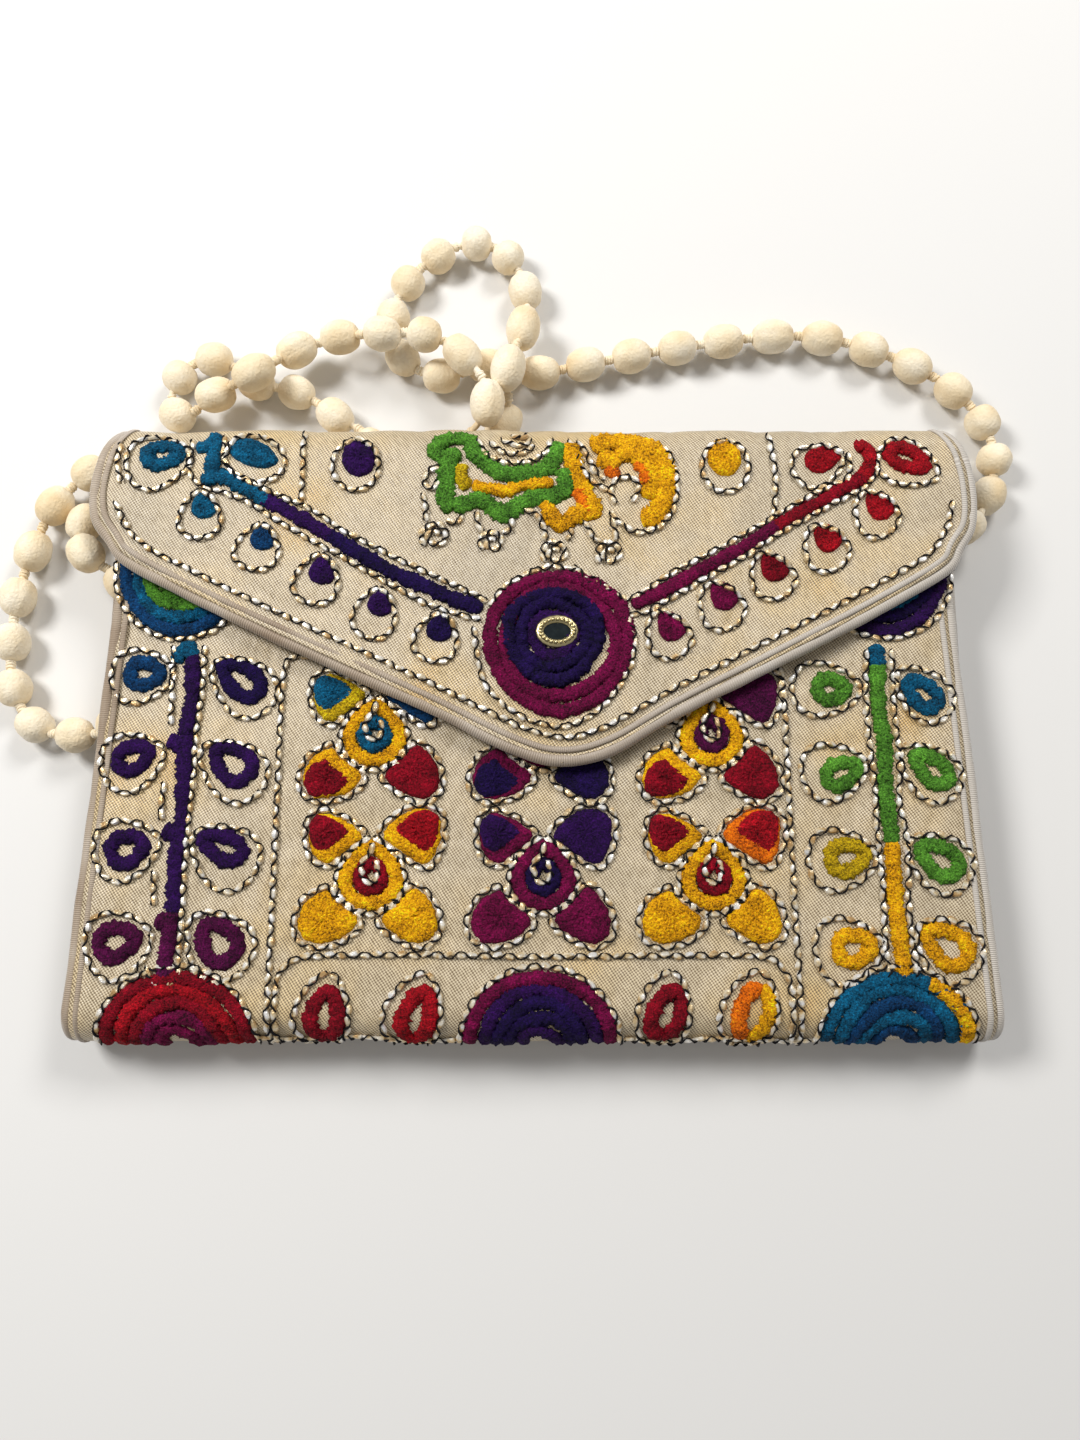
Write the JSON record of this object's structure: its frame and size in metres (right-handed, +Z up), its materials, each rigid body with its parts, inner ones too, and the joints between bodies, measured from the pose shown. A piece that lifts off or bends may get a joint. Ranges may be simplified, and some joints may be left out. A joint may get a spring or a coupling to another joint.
{
  "type": "crossbody bag",
  "caption": "Embroidered envelope clutch with a pointed flap, piped edges, inward side gussets and a shoulder strap of cloth-covered beads, lying on its back",
  "frame": {"origin": "centre of the closed bag on the surface that it lies on, without the strap", "axes": "+X to the right across the front, +Y from the bottom fold towards the top fold, +Z up through the front and the flap"},
  "size_m": [0.277, 0.2267, 0.0248],
  "materials": {
    "satin": "champagne satin, fine weave",
    "lining_cloth": "plain cotton",
    "piping_cloth": "taupe cloth-covered cord",
    "snap_steel": "plain steel",
    "stitch_teal": "chenille stitching",
    "stitch_violet": "chenille stitching",
    "stitch_maroon": "chenille stitching",
    "stitch_crimson": "chenille stitching",
    "stitch_green": "chenille stitching",
    "stitch_yellow": "chenille stitching",
    "silver_cord": "silvery twisted cord with dark crossing stitches",
    "gilt_wire": "thin gilt wire",
    "mirror_glass": "small dark mirror",
    "bead_cloth": "matt cream cloth over round beads"
  },
  "bodies": {
    "root": {"outer_panel": "satin", "lining": "lining_cloth", "gusset_left": "satin", "gusset_right": "satin", "piping": "piping_cloth", "snap_socket": "snap_steel", "snap_stud": "snap_steel", "medallion_bottom_left": "stitch_crimson", "medallion_bottom_middle": "stitch_maroon", "medallion_bottom_right": "stitch_teal", "medallion_top_left": "stitch_teal", "medallion_top_right": "stitch_violet", "vine_left": "stitch_violet", "vine_right": "stitch_green", "flap_vine_left": "stitch_teal", "flap_vine_right": "stitch_crimson", "flower_left_top": "stitch_yellow", "flower_left_bottom": "stitch_crimson", "flower_middle_top": "stitch_maroon", "flower_middle_bottom": "stitch_maroon", "flower_right_top": "stitch_yellow", "flower_right_bottom": "stitch_crimson", "drop_1": "stitch_crimson", "drop_2": "stitch_crimson", "drop_3": "stitch_crimson", "drop_4": "stitch_crimson", "front_border_cord": "silver_cord", "flap_border_cord": "silver_cord", "flap_oval_left": "stitch_violet", "flap_oval_right": "stitch_yellow", "elephant": "stitch_green", "flap_medallion": "stitch_maroon", "flap_medallion_heart": "stitch_violet", "mirror_ring": "gilt_wire", "mirror": "mirror_glass", "strap_knot_left": "bead_cloth", "strap_knot_right": "bead_cloth", "bead_strap": "bead_cloth"}
  },
  "joints": []
}
